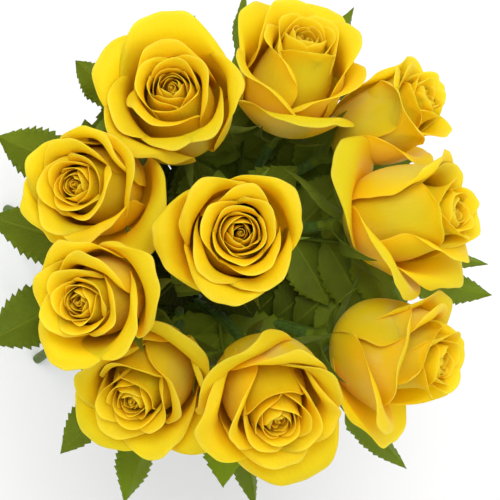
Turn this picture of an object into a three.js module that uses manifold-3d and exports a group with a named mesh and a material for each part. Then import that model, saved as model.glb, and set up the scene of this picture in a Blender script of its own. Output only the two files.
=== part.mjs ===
// A hand-tied bunch of ten cut roses that stands unheld on its spiralled stems.
// Millimetres, +Z up. The origin is on the surface it stands on, under the middle of the bunch.
//
// Each rose is a stem, a calyx (the hip with its five sepals), a cup of outer petals and the rolled
// heart of inner petals. Leaves grow from the stems above the tie, and a twine tie binds the stems.
import * as THREE from "three";
import { mergeVertices } from "three/addons/utils/BufferGeometryUtils.js";
import Module from "manifold-3d";

const wasm = await Module();
wasm.setup();

// ---------- driving dimensions ----------
const fitGap = 0.35; // clearance between pieces that touch on the real bunch

// stems and tie
const stemDiameter = 5.6;
const tieHeight = 150; // from the cut ends up to the middle of the tie
const twineDiameter = 2.2;
const twineTurns = 5;
const stemSpacing = 1.42; // how far the outer stems stand apart in the tie, in stem diameters
const spiralTwist = 86; // degrees that the stems turn round the bunch between the tie and the blooms
const neckLength = 34; // the soft bend under each bloom

// blooms: a rose's own girth in the table below is a share of the full bloom's
const bloomGirth = 60; // across the widest part of a fully open bloom
const bloomHeight = 54; // from the hip to the rim of the outer petals
const petalWall = 1.6; // the layered outer petals, taken together
const heartRise = 7; // how far the rolled heart stands above the outer petals' rim
const lobeSpread = 0.08; // how far a petal's middle bends out at the rim, as a share of its radius
const lobeRise = 3.5; // how far the rim dips between two petals

// calyx
const hipDiameter = 12;
const hipHeight = 10;
const sepalLength = 27;
const sepalWidth = 6.5;
const sepalThickness = 1.3;

// leaves
const leafletLength = 52;
const leafletWidth = 30;
const leafThickness = 1.5;
const stalkDiameter = 2;
const leafArch = 0.13; // how far a leaf bows above the straight line to its tip, as a share of it

// Where each bloom sits. reach and height place the hip: reach is out from the middle, in bloom
// girths, and height is above the tie, in millimetres. lean is the bloom's tilt from upright, and
// azimuth and heading are turned from +X: where the hip is, and where the bloom faces. girth and depth
// are the bloom's own shares of a full one's, and turn rolls it on its stem.
const roses = [
  { azimuth: 154, reach: 0.19, height: 182, heading: 169, lean: 15, girth: 0.88, depth: 1, turn: 0 },
  { azimuth: 15, reach: 0.85, height: 154, heading: 7, lean: 42, girth: 0.92, depth: 1.16, turn: 20 },
  { azimuth: 43, reach: 1.17, height: 136, heading: 38, lean: 42, girth: 0.7, depth: 1.14, turn: 0 },
  { azimuth: 67, reach: 1.05, height: 139, heading: 89, lean: 43, girth: 0.96, depth: 1.08, turn: 36 },
  { azimuth: 113, reach: 1.07, height: 146, heading: 141, lean: 28, girth: 0.97, depth: 1, turn: 0 },
  { azimuth: 152, reach: 1.05, height: 146, heading: 178, lean: 38, girth: 0.9, depth: 1, turn: 28 },
  { azimuth: 198, reach: 1.03, height: 168, heading: 188, lean: 38, girth: 0.8, depth: 1, turn: 40 },
  { azimuth: 239, reach: 0.88, height: 136, heading: 219, lean: 46, girth: 0.97, depth: 1, turn: 0 },
  { azimuth: 275, reach: 0.84, height: 158, heading: 267, lean: 31, girth: 1, depth: 1, turn: 20 },
  { azimuth: 316, reach: 1.05, height: 147, heading: 345, lean: 43, girth: 0.94, depth: 1.16, turn: 50 },
];

// Leaves: the rose whose stem carries it and how far up that stem it grows (0 at the tie, 1 at the
// hip), where its tip ends up (azimuth, reach and height as above), its pairs of side leaflets, and
// the size of its leaflets as a share of a full one.
const leaves = [
  { rose: 4, up: 0.5, azimuth: 86, reach: 2.2, height: 138, pairs: 1, size: 0.85 },
  { rose: 3, up: 0.45, azimuth: 60, reach: 2.45, height: 125, pairs: 1, size: 0.9 },
  { rose: 3, up: 0.66, azimuth: 25, reach: 2, height: 131, pairs: 0, size: 0.85 },
  { rose: 2, up: 0.66, azimuth: -3, reach: 2.4, height: 139, pairs: 1, size: 0.85 },
  { rose: 2, up: 0.35, azimuth: -9, reach: 2.55, height: 128, pairs: 1, size: 1 },
  { rose: 10, up: 0.56, azimuth: -30, reach: 1.8, height: 143, pairs: 0, size: 0.8 },
  { rose: 10, up: 0.42, azimuth: -48, reach: 2.6, height: 122, pairs: 1, size: 1 },
  { rose: 9, up: 0.45, azimuth: -80, reach: 2.3, height: 112, pairs: 1, size: 0.9 },
  { rose: 9, up: 0.62, azimuth: -88, reach: 2.05, height: 117, pairs: 1, size: 1.05 },
  { rose: 8, up: 0.42, azimuth: -110, reach: 2.3, height: 112, pairs: 1, size: 0.9 },
  { rose: 8, up: 0.64, azimuth: -129, reach: 2.2, height: 122, pairs: 1, size: 0.95 },
  { rose: 7, up: 0.26, azimuth: -158, reach: 2.1, height: 98, pairs: 2, size: 1.05 },
  { rose: 7, up: 0.5, azimuth: 172, reach: 2, height: 118, pairs: 1, size: 1.05 },
  { rose: 6, up: 0.44, azimuth: 154, reach: 2.15, height: 126, pairs: 2, size: 0.95 },
  { rose: 5, up: 0.46, azimuth: 130, reach: 2.05, height: 138, pairs: 1, size: 0.85 },
  { rose: 5, up: 0.7, azimuth: 98, reach: 2, height: 136, pairs: 0, size: 0.8 },
  { rose: 1, up: 0.6, azimuth: 160, reach: 0.8, height: 160, pairs: 0, size: 0.75 },
  { rose: 1, up: 0.45, azimuth: 52, reach: 0.9, height: 150, pairs: 0, size: 0.9 },
  { rose: 1, up: 0.34, azimuth: -70, reach: 0.6, height: 142, pairs: 0, size: 0.95 },
];

// ---------- materials ----------
const yellowHeart = new THREE.MeshStandardMaterial({ color: 0xf7b50c, roughness: 0.6, metalness: 0 });
const yellowPetal = new THREE.MeshStandardMaterial({ color: 0xf2cb1e, roughness: 0.6, metalness: 0 });
const sepalGreen = new THREE.MeshStandardMaterial({ color: 0x5f7f2b, roughness: 0.7, metalness: 0 });
const stemGreen = new THREE.MeshStandardMaterial({ color: 0x56752c, roughness: 0.6, metalness: 0 });
const leafGreen = new THREE.MeshStandardMaterial({ color: 0x3f6423, roughness: 0.65, metalness: 0 });
const twineBrown = new THREE.MeshStandardMaterial({ color: 0xb29462, roughness: 0.9, metalness: 0 });

// ---------- shared helpers ----------
const rad = THREE.MathUtils.degToRad;
const stemRadius = stemDiameter / 2;

/** A unit vector from its heading about +Z and its rise above the horizon, both in degrees. */
function direction(heading, rise) {
  const level = Math.cos(rad(rise));
  return new THREE.Vector3(
    Math.cos(rad(heading)) * level,
    Math.sin(rad(heading)) * level,
    Math.sin(rad(rise)),
  );
}

/** A closed three.js geometry as a solid that can be joined and cut. */
function solidFrom(geometry) {
  const bare = new THREE.BufferGeometry()
    .setAttribute("position", geometry.getAttribute("position").clone())
    .setIndex(geometry.index);
  const merged = mergeVertices(bare.index ? bare.toNonIndexed() : bare, 1e-4);
  return new wasm.Manifold(
    new wasm.Mesh({
      numProp: 3,
      vertProperties: new Float32Array(merged.attributes.position.array),
      triVerts: new Uint32Array(merged.index.array),
    }),
  );
}

/** The geometry of a solid, for a three.js mesh. */
function geometryFrom(solid) {
  const { vertProperties, triVerts } = solid.getMesh();
  return new THREE.BufferGeometry()
    .setAttribute("position", new THREE.BufferAttribute(vertProperties, 3))
    .setIndex(new THREE.BufferAttribute(triVerts, 1));
}

/** A round rod along a curve. */
function rod(curve, radius, steps, sides) {
  const section = new THREE.Shape();
  section.absarc(0, 0, radius, 0, 2 * Math.PI, false);
  return new THREE.ExtrudeGeometry(section, {
    steps,
    curveSegments: sides / 2,
    extrudePath: curve,
    bevelEnabled: false,
  });
}

/**
 * A leaf-like blade along a curve: pointed at both ends, thickest on its midrib, with its two
 * halves folded up a little. side is the blade's width direction at its base.
 */
function blade(curve, width, thickness, side, widths) {
  const positions = [];
  const stations = widths.length;
  const at = (i) => curve.getPoint(i / (stations - 1));
  const rings = widths.map((share, i) => {
    const middle = at(i);
    const along = curve.getTangent(i / (stations - 1));
    const across = side.clone().addScaledVector(along, -side.dot(along)).normalize();
    const up = new THREE.Vector3().crossVectors(across, along);
    const half = (share * width) / 2;
    const deep = (Math.max(share, 0.45) * thickness) / 2;
    return [
      middle.clone().addScaledVector(across, half),
      middle.clone().addScaledVector(up, deep),
      middle.clone().addScaledVector(across, -half),
      middle.clone().addScaledVector(up, -deep),
    ];
  });
  const triangle = (a, b, c) => positions.push(...a.toArray(), ...b.toArray(), ...c.toArray());
  const start = at(0);
  const end = at(stations - 1);
  for (let k = 0; k < 4; k++) {
    const next = (k + 1) % 4;
    triangle(start, rings[1][k], rings[1][next]);
    triangle(end, rings[stations - 2][next], rings[stations - 2][k]);
    for (let i = 1; i < stations - 2; i++) {
      triangle(rings[i][k], rings[i + 1][next], rings[i][next]);
      triangle(rings[i][k], rings[i + 1][k], rings[i + 1][next]);
    }
  }
  return new THREE.BufferGeometry().setAttribute(
    "position",
    new THREE.Float32BufferAttribute(positions, 3),
  );
}

// ---------- stems ----------
// Nine stems stand in a ring in the tie and the tenth is in the middle. All nine lean the same way
// round, so they cross once at the tie and spread into a foot below it.
const outerStems = roses.length - 1;
const ringRadius = (stemSpacing * stemDiameter) / (2 * Math.sin(Math.PI / outerStems));
const floorMargin = 12; // a stem is made this much too long, then cut level

/** A place in the bunch from its azimuth, its reach in bloom girths and its height above the tie. */
function bunchPoint(place) {
  const point = direction(place.azimuth, 0).multiplyScalar(place.reach * bloomGirth);
  return point.setZ(tieHeight + place.height);
}

function bloomAxis(rose) {
  return direction(rose.heading, 90 - rose.lean);
}

function stemCurve(rose, index) {
  const slot = rad((360 / outerStems) * (index - 1) - spiralTwist);
  const radius = index === 0 ? 0 : ringRadius;
  const waist = new THREE.Vector3(radius * Math.cos(slot), radius * Math.sin(slot), tieHeight);
  const hip = bunchPoint(rose);
  const neck = hip.clone().addScaledVector(bloomAxis(rose), -neckLength);
  const rise = hip.clone().addScaledVector(bloomAxis(rose), -neckLength * 0.35).sub(waist);
  const foot = waist.clone().addScaledVector(rise, -(tieHeight + floorMargin) / rise.z);
  const curve = new THREE.CurvePath();
  curve.add(new THREE.LineCurve3(foot, waist));
  curve.add(
    new THREE.CubicBezierCurve3(waist, waist.clone().addScaledVector(rise, 0.5), neck, hip),
  );
  return curve;
}

/** How far out from the middle a stem's centre line is at a height above or below the tie. */
function stemReach(curve, height) {
  const { v1: foot, v2: waist } = curve.curves[0];
  const along = waist.clone().sub(foot);
  const spots = [height, -height].map((h) => waist.clone().addScaledVector(along, h / along.z));
  return Math.max(...spots.map((spot) => Math.hypot(spot.x, spot.y)));
}

const groundBlock = solidFrom(
  new THREE.BoxGeometry(1000, 1000, 100).translate(0, 0, -50),
);

function stemGeometry(curve) {
  return geometryFrom(solidFrom(rod(curve, stemRadius, 12, 8)).subtract(groundBlock));
}

// ---------- calyx: a hip with five sepals bent back from it ----------
function calyxGeometry() {
  const hipRadius = hipDiameter / 2;
  const hip = new THREE.LatheGeometry(
    [
      new THREE.Vector2(0, fitGap),
      new THREE.Vector2(stemRadius * 1.05, fitGap),
      new THREE.Vector2(hipRadius * 0.85, hipHeight * 0.35),
      new THREE.Vector2(hipRadius, hipHeight * 0.7),
      new THREE.Vector2(hipRadius * 0.8, hipHeight),
      new THREE.Vector2(0, hipHeight),
    ],
    10,
  ).rotateX(Math.PI / 2);
  let calyx = solidFrom(hip);
  for (let k = 0; k < 5; k++) {
    const out = direction(72 * k, 0);
    const up = new THREE.Vector3(0, 0, 1);
    const start = out.clone().multiplyScalar(hipRadius * 0.55).addScaledVector(up, hipHeight * 0.75);
    const middle = start.clone().addScaledVector(out, sepalLength * 0.5);
    const end = middle.clone().addScaledVector(out, sepalLength * 0.06).addScaledVector(up, -sepalLength * 0.55);
    const curve = new THREE.QuadraticBezierCurve3(start, middle, end);
    const side = direction(72 * k + 90, 0);
    calyx = calyx.add(solidFrom(blade(curve, sepalWidth, sepalThickness, side, [0, 1, 0.75, 0.35, 0])));
  }
  return geometryFrom(calyx);
}

// ---------- bloom: a five-lobed cup of outer petals round a rolled heart ----------
/** The bloom's outline: radius as a share of the girth's half, at a share of its height. */
const cupOutline = [
  [0.2, 0],
  [0.66, 0.2],
  [0.97, 0.52],
  [0.98, 0.82],
  [1.12, 1],
];

function cupGeometry(girth, depth) {
  const point = ([share, rise], inset, floor) =>
    new THREE.Vector2(
      Math.max(share * (girth / 2) - inset, 0.01),
      hipHeight + fitGap + floor + rise * (depth - floor),
    );
  const outside = cupOutline.map((p) => point(p, 0, 0));
  const inside = cupOutline.map((p) => point(p, petalWall, petalWall)).reverse();
  const profile = [
    new THREE.Vector2(0, hipHeight + fitGap),
    ...outside,
    ...inside,
    new THREE.Vector2(0, hipHeight + fitGap + petalWall),
  ];
  const cup = new THREE.LatheGeometry(profile, 20).rotateX(Math.PI / 2);
  // Five lobes: the rim dips between petals and each petal's middle bends out.
  const spots = cup.getAttribute("position");
  for (let i = 0; i < spots.count; i++) {
    const x = spots.getX(i);
    const y = spots.getY(i);
    const z = spots.getZ(i);
    const rise = Math.max(0, (z - hipHeight) / depth - 0.6) / 0.4;
    const lobe = (1 + Math.cos(5 * Math.atan2(y, x))) / 2;
    const spread = 1 + lobeSpread * rise * rise * lobe;
    spots.setXYZ(i, x * spread, y * spread, z + lobeRise * rise * rise * (lobe - 1));
  }
  return cup;
}

/** The heart fills the cup with a gap all round and closes over above its rim. */
function heartGeometry(girth, depth) {
  const floor = hipHeight + fitGap + petalWall + fitGap;
  const rim = hipHeight + depth;
  const inCup = cupOutline
    .slice(0, -1)
    .map(([share, rise]) => [
      share * (girth / 2) - petalWall - fitGap * 2,
      floor + rise * (rim - floor),
    ]);
  const crown = [
    [0.84, 0.3],
    [0.56, 1],
    [0.22, 0.8],
    [0, 0.1],
  ].map(([share, rise]) => [share * (girth / 2), rim + rise * heartRise]);
  const profile = [[0, floor], ...inCup, ...crown];
  return new THREE.LatheGeometry(
    profile.map(([x, y]) => new THREE.Vector2(x, y)),
    12,
  ).rotateX(Math.PI / 2);
}

// ---------- leaves ----------
const bladeWidths = [0, 0.72, 1, 0.62, 0]; // a leaflet's width from base to tip, as shares

/** A leaf that starts at the surface of its stem, with a terminal leaflet and pairs below it. */
function leafGeometry(leaf, stem) {
  const path = stem.curves[1];
  const tip = bunchPoint(leaf);
  const node = path.getPoint(leaf.up);
  const along = path.getTangent(leaf.up);
  const toTip = tip.clone().sub(node);
  const away = toTip.clone().addScaledVector(along, -toTip.dot(along)).normalize();
  const start = node.addScaledVector(away, stemRadius + fitGap + stalkDiameter / 2);
  const span = tip.distanceTo(start);
  const crown = start.clone().lerp(tip, 0.5).add(new THREE.Vector3(0, 0, span * leafArch * 2));
  const spine = new THREE.QuadraticBezierCurve3(start, crown, tip);

  const length = leafletLength * leaf.size;
  const stalkEnd = Math.max(1 - length / span, 0.2); // along the spine, where the last leaflet starts
  const stalkPoints = [0, 0.33, 0.67, 1.05].map((share) => spine.getPoint(stalkEnd * share));
  const stalk = new THREE.CatmullRomCurve3(stalkPoints);
  let solid = solidFrom(rod(stalk, stalkDiameter / 2, 4, 6));

  const level = tip.clone().sub(start).setZ(0).normalize();
  const side = new THREE.Vector3().crossVectors(new THREE.Vector3(0, 0, 1), level);
  const width = leafletWidth * leaf.size;
  const lastLeaflet = new THREE.QuadraticBezierCurve3(
    spine.getPoint(stalkEnd),
    spine.getPoint((1 + stalkEnd) / 2).add(new THREE.Vector3(0, 0, length * 0.04)),
    tip,
  );
  solid = solid.add(solidFrom(blade(lastLeaflet, width, leafThickness, side, bladeWidths)));

  for (let pair = 0; pair < leaf.pairs; pair++) {
    const share = (pair === 0 ? 0.84 : 0.42) * stalkEnd;
    const spot = spine.getPoint(share);
    const forward = spine.getTangent(share);
    for (const hand of [-1, 1]) {
      const ahead = forward.clone().addScaledVector(side, hand * 1.35).normalize();
      const size = length * 0.8;
      const base = spot.clone().addScaledVector(ahead, -stalkDiameter * 0.4);
      const end = base.clone().addScaledVector(ahead, size).add(new THREE.Vector3(0, 0, -size * 0.12));
      const bow = new THREE.QuadraticBezierCurve3(
        base,
        base.clone().addScaledVector(ahead, size * 0.5).add(new THREE.Vector3(0, 0, size * 0.08)),
        end,
      );
      const flank = new THREE.Vector3().crossVectors(new THREE.Vector3(0, 0, 1), ahead).normalize();
      solid = solid.add(solidFrom(blade(bow, width * 0.8, leafThickness, flank, bladeWidths)));
    }
  }
  return geometryFrom(solid);
}

// ---------- tie: turns of twine round the bundle, closed by a knot ----------
function tieGeometry() {
  const bandHeight = twineTurns * twineDiameter;
  // The stems spread a little within the band's own height.
  const spread = Math.max(...curves.slice(1).map((curve) => stemReach(curve, bandHeight / 2)));
  const inner = spread + stemRadius * 1.05 + fitGap;
  const bottom = tieHeight - bandHeight / 2;
  const profile = [new THREE.Vector2(inner, bottom + bandHeight), new THREE.Vector2(inner, bottom)];
  for (let turn = 0; turn < twineTurns; turn++) {
    const low = bottom + turn * twineDiameter;
    profile.push(new THREE.Vector2(inner + twineDiameter * 0.6, low + twineDiameter * 0.02));
    profile.push(new THREE.Vector2(inner + twineDiameter, low + twineDiameter * 0.5));
  }
  profile.push(new THREE.Vector2(inner + twineDiameter * 0.6, bottom + bandHeight));
  profile.push(profile[0].clone());
  const band = solidFrom(new THREE.LatheGeometry(profile, 24).rotateX(Math.PI / 2));
  const knot = new THREE.SphereGeometry(twineDiameter * 1.25, 8, 6).scale(0.8, 1.2, 1);
  knot.translate(inner + twineDiameter * 1.3, 0, tieHeight);
  return geometryFrom(band.add(solidFrom(knot)));
}

// ---------- assembly ----------
const bunch = new THREE.Group();

function addPiece(name, geometry, material, parent) {
  const mesh = new THREE.Mesh(geometry, material);
  mesh.name = name;
  parent.add(mesh);
}

const label = (number) => String(number).padStart(2, "0");
const curves = roses.map(stemCurve);

roses.forEach((rose, index) => {
  const name = `rose_${label(index + 1)}`;
  const girth = bloomGirth * rose.girth;
  const depth = bloomHeight * rose.depth;
  addPiece(`${name}_stem`, stemGeometry(curves[index]), stemGreen, bunch);

  const head = new THREE.Group();
  head.position.copy(bunchPoint(rose));
  head.quaternion.setFromUnitVectors(new THREE.Vector3(0, 0, 1), bloomAxis(rose));
  head.rotateZ(rad(rose.turn));
  addPiece(`${name}_calyx`, calyxGeometry(), sepalGreen, head);
  addPiece(`${name}_outer_petals`, cupGeometry(girth, depth), yellowPetal, head);
  addPiece(`${name}_heart`, heartGeometry(girth, depth), yellowHeart, head);
  bunch.add(head);
});

leaves.forEach((leaf, index) => {
  addPiece(`leaf_${label(index + 1)}`, leafGeometry(leaf, curves[leaf.rose - 1]), leafGreen, bunch);
});

addPiece("tie", tieGeometry(), twineBrown, bunch);

// The origin goes under the middle of the bunch.
bunch.updateMatrixWorld(true);
const extent = new THREE.Box3().setFromObject(bunch, true);
const middle = extent.getCenter(new THREE.Vector3());
bunch.position.set(-middle.x, -middle.y, -extent.min.z);

const roseBunch = new THREE.Group();
roseBunch.add(bunch);
export default roseBunch;
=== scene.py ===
"""A hand-tied bunch of ten yellow cut roses, standing on its spiralled stems.

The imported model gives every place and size. Each bloom, calyx, stem, leaf and the twine tie is then
modelled in full on its own part of that frame. Metres, +Z up.
"""

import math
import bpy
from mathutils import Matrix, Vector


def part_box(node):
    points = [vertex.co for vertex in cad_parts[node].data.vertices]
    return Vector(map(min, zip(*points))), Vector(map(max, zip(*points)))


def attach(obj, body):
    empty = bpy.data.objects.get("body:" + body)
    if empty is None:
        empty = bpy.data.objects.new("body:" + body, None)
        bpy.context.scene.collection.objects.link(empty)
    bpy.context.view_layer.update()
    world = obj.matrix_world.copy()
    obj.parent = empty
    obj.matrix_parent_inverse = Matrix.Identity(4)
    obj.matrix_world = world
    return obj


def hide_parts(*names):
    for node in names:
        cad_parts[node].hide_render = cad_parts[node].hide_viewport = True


bl_info = {
    "name": "Hand-tied rose bunch",
    "version": (1, 0, 0),
    "blender": (4, 5, 0),
    "location": "3D View > Sidebar > Rose bunch",
    "description": "Builds a tied bunch of cut roses petal by petal round its packed frame",
    "category": "Add Mesh",
}

import bpy
import numpy as np
from mathutils import Matrix, Vector

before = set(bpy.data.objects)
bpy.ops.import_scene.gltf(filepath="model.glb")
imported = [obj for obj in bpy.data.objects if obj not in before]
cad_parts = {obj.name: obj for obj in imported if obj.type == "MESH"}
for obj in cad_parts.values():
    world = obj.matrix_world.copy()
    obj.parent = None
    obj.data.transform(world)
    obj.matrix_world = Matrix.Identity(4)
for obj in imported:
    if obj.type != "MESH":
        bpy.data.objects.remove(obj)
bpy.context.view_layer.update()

MM = 0.001
ROSES = range(1, 11)
GOLDEN_ANGLE = math.radians(137.508)
FULL_TURN = 2 * math.pi

# The heart's petals make one piece, with the rolled bud among them, and the outermost petals are
# pieces of their own.
HEART_PETALS = 13
SEPARATE_PETALS = 7
# How far outside the CAD heart the bellies of the outermost petals lie.
HEART_TO_CUP = 1.9 * MM

# Where a leaf's side veins run: how many on each side, and how they sweep forward to the margin.
SIDE_VEINS = 11
VEIN_SWEEP = 2.6
VEIN_BEND = 1.3

# Half-widths from base to tip, as (shares of the length, shares of the greatest half-width).
PETAL_OUTLINE = ([0, 0.12, 0.3, 0.52, 0.78, 0.92, 1], [0.16, 0.4, 0.74, 0.97, 1.0, 0.93, 0.80])
SEPAL_OUTLINE = ([0, 0.1, 0.25, 0.45, 0.65, 0.85, 1], [0.7, 0.92, 1, 0.86, 0.52, 0.22, 0.02])
LEAFLET_OUTLINE = (
    [0, 0.06, 0.2, 0.42, 0.62, 0.8, 0.93, 1],
    [0.1, 0.42, 0.86, 1.0, 0.86, 0.52, 0.2, 0.01],
)

# Small touches of colour in the finishes.
CLAW = (0.66, 0.60, 0.12)
PETAL_VEIN = (0.60, 0.28, 0.0)
BARK_BROWN = (0.17, 0.10, 0.045)
PITH = (0.52, 0.55, 0.28)
PITH_FLECK = (0.36, 0.44, 0.18)


# ---------- sizes and colours ----------
class RoseBunchSizes(bpy.types.PropertyGroup):
    petals: bpy.props.IntProperty(
        name="Petals", description="Petals in one bloom, heart included", default=26, min=12, max=40
    )
    petal_thickness: bpy.props.FloatProperty(
        name="Petal thickness",
        description="Thickness of a petal in its middle",
        default=0.42 * MM,
        min=0.1 * MM,
        precision=5,
        unit="LENGTH",
    )
    openness: bpy.props.FloatProperty(
        name="Openness",
        description="How far the outer petals have opened, where 1 is a bloom at its best",
        default=1.0,
        min=0.0,
        max=1.5,
        subtype="FACTOR",
    )
    sepal_length: bpy.props.FloatProperty(
        name="Sepal length",
        description="Length of the longest sepals",
        default=36 * MM,
        precision=4,
        unit="LENGTH",
    )
    sepal_width: bpy.props.FloatProperty(
        name="Sepal width",
        description="Width of the widest sepals",
        default=7.5 * MM,
        precision=4,
        unit="LENGTH",
    )
    leaflet_length: bpy.props.FloatProperty(
        name="Leaflet length",
        description="Length of a full-sized end leaflet",
        default=48 * MM,
        precision=4,
        unit="LENGTH",
    )
    leaflet_width: bpy.props.FloatProperty(
        name="Leaflet width",
        description="Width of a full-sized end leaflet",
        default=25 * MM,
        precision=4,
        unit="LENGTH",
    )
    leaf_thickness: bpy.props.FloatProperty(
        name="Leaf thickness",
        description="Thickness of a leaf blade",
        default=0.35 * MM,
        precision=5,
        unit="LENGTH",
    )
    twine_turns: bpy.props.IntProperty(
        name="Twine turns", description="Turns of twine in the tie", default=5, min=2, max=12
    )


def colour_property(name, description, default):
    return bpy.props.FloatVectorProperty(
        name=name, description=description, default=default, size=3, min=0, max=1, subtype="COLOR"
    )


class RoseBunchColours(bpy.types.PropertyGroup):
    heart: colour_property("Heart", "Deep golden yellow of the rolled heart", (0.985, 0.51, 0.006))
    petal: colour_property("Petal", "Clear yellow of an open petal", (0.955, 0.55, 0.005))
    petal_edge: colour_property("Petal edge", "Lemon yellow of the outer petals", (0.935, 0.60, 0.009))
    # Partly painted light: the orange gold deep inside a petal is partly its own colour and partly painted
    # glow of light caught in the creases.
    petal_depth_glow: colour_property("Petal depth", "Orange gold deep inside a petal", (0.98, 0.45, 0.004))
    # Painted light: this pale yellow is painted along the thin rims as light shining through them.
    petal_rim_light: colour_property("Petal rim", "Pale yellow of a thin rim", (0.99, 0.69, 0.045))
    petal_back: colour_property("Petal back", "Cream blush on the outer petals' backs", (0.93, 0.66, 0.16))
    leaf_top: colour_property("Leaf top", "Upper face of a leaf", (0.140, 0.192, 0.010))
    leaf_under: colour_property("Leaf underside", "Paler underside of a leaf", (0.13, 0.19, 0.05))
    young_leaf: colour_property("Young leaf", "Bright green of the youngest leaves", (0.20, 0.31, 0.007))
    sepal: colour_property("Sepal", "Olive green of a sepal and hip", (0.10, 0.15, 0.010))
    stem: colour_property("Stem", "Waxy green of a stem", (0.06, 0.12, 0.015))
    prickle: colour_property("Prickle", "Reddish tip of a prickle", (0.23, 0.085, 0.035))
    twine: colour_property("Twine", "Natural jute", (0.42, 0.27, 0.12))
    floor: colour_property("Floor", "Pale floor under the bunch", (0.93, 0.93, 0.93))


# ---------- reading the frame ----------
def node_points(name):
    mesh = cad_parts[name].data
    points = np.empty(len(mesh.vertices) * 3)
    mesh.vertices.foreach_get("co", points)
    return points.reshape(-1, 3)


def surface_centre(name):
    """Centre of a node's surface. It lies on the axis of anything that is the same all round."""
    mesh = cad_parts[name].data
    mesh.calc_loop_triangles()
    points = node_points(name)
    corners = np.empty(len(mesh.loop_triangles) * 3, int)
    mesh.loop_triangles.foreach_get("vertices", corners)
    a, b, c = (points[corners.reshape(-1, 3)[:, k]] for k in range(3))
    area = np.linalg.norm(np.cross(b - a, c - a), axis=1)[:, None]
    return ((a + b + c) / 3 * area).sum(0) / area.sum()


def unit(vector):
    return vector / np.linalg.norm(vector)


class BloomPlace:
    """Where one rose's bloom sits: its axis, the top of its stem, and its size."""

    def __init__(self, number):
        self.name = f"rose_{number:02d}"
        heart = node_points(f"{self.name}_heart")
        cup = node_points(f"{self.name}_outer_petals")
        calyx = node_points(f"{self.name}_calyx")
        self.axis = unit(surface_centre(f"{self.name}_heart") - surface_centre(f"{self.name}_calyx"))
        stem = node_points(f"{self.name}_stem")
        along = stem @ self.axis
        # The stem's end is square to the bloom's axis.
        self.foot = stem[along > along.max() - 0.05 * MM].mean(0)

        reach = self.radius(heart)
        self.girth = reach.max() + HEART_TO_CUP
        height = (cup - self.foot) @ self.axis
        self.seat = height.min()
        self.depth = height.max() - self.seat
        sepal_tip = calyx[self.radius(calyx).argmax()] - self.foot
        self.side = unit(sepal_tip - (sepal_tip @ self.axis) * self.axis)
        self.basis = np.stack([self.side, np.cross(self.axis, self.side), self.axis])

    def radius(self, points):
        offset = points - self.foot
        return np.linalg.norm(offset - np.outer(offset @ self.axis, self.axis), axis=1)

    def to_world(self, points):
        """From the bloom's own frame, whose +Z is its axis, to the bunch."""
        return self.foot + points @ self.basis

    def azimuth_of(self, heading):
        """The bloom's own azimuth that faces a compass heading in the bunch, in degrees from +X."""
        level = np.array([math.cos(math.radians(heading)), math.sin(math.radians(heading)), 0])
        return math.atan2(level @ self.basis[1], level @ self.basis[0])


def stem_line(number, step=6 * MM):
    """Centre line of a stem from its cut end to the bloom, from level slices of the CAD stem."""
    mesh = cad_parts[f"rose_{number:02d}_stem"].data
    points = node_points(f"rose_{number:02d}_stem")
    ends = np.empty(len(mesh.edges) * 2, int)
    mesh.edges.foreach_get("vertices", ends)
    low, high = (points[ends.reshape(-1, 2)[:, k]] for k in range(2))
    place = BLOOMS[number]
    line = []
    # The slices start just over the cut end and stop short of the slanting top end.
    for z in np.arange(0.4 * MM, place.foot[2] - 4 * MM, step):
        crossed = (low[:, 2] - z) * (high[:, 2] - z) < 0
        a, b = low[crossed], high[crossed]
        share = ((z - a[:, 2]) / (b[:, 2] - a[:, 2]))[:, None]
        cut = a + (b - a) * share
        line.append((cut.min(0) + cut.max(0)) / 2)
    line[0][2] = 0
    return np.array([*line, place.foot])


BLOOMS = {number: BloomPlace(number) for number in ROSES}


# ---------- curves ----------
def smoothstep(low, high, value):
    share = np.clip((value - low) / (high - low), 0, 1)
    return share * share * (3 - 2 * share)


def travelled(line):
    """How far along a line each of its points lies."""
    steps = np.linalg.norm(np.diff(line, axis=0), axis=1)
    return np.concatenate([[0], np.cumsum(steps)])


def resample(line, count):
    """A line of points as count points evenly along its length."""
    travel = travelled(line)
    wanted = np.linspace(0, travel[-1], count)
    return np.stack([np.interp(wanted, travel, line[:, k]) for k in range(line.shape[1])], 1)


def smooth_line(points, count):
    """A smooth curve through a few points, evenly spaced."""
    points = np.asarray(points, float)
    padded = np.vstack([2 * points[0] - points[1], points, 2 * points[-1] - points[-2]])
    pieces = []
    for p0, p1, p2, p3 in zip(padded, padded[1:], padded[2:], padded[3:]):
        t = np.linspace(0, 1, 12, endpoint=False)[:, None]
        pieces.append(
            0.5 * (2 * p1 + (p2 - p0) * t + (2 * p0 - 5 * p1 + 4 * p2 - p3) * t**2
                   + (3 * p1 - p0 - 3 * p2 + p3) * t**3)
        )
    return resample(np.vstack([*pieces, points[-1:]]), count)


def bezier(p0, p1, p2, p3, count):
    t = np.linspace(0, 1, count)[:, None]
    return p0 * (1 - t) ** 3 + 3 * p1 * t * (1 - t) ** 2 + 3 * p2 * t**2 * (1 - t) + p3 * t**3


def bow(start, end, rise, count):
    """A curve from start to end that bows upwards by rise."""
    t = np.linspace(0, 1, count)[:, None]
    crown = (start + end) / 2 + np.array([0, 0, 2 * rise])
    return start * (1 - t) ** 2 + 2 * crown * t * (1 - t) + end * t**2


def circle(count):
    """Points round a circle of radius 1."""
    angle = np.linspace(0, FULL_TURN, count, endpoint=False)
    return np.stack([np.cos(angle), np.sin(angle), 0 * angle], -1)


def direction(angle):
    return np.array([math.cos(angle), math.sin(angle)])


def turned(out, sideways, height, azimuth):
    """Points given outwards and sideways, turned to an azimuth about the upright axis."""
    c, s = direction(azimuth)
    return np.stack([out * c - sideways * s, out * s + sideways * c, height], -1)


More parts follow.
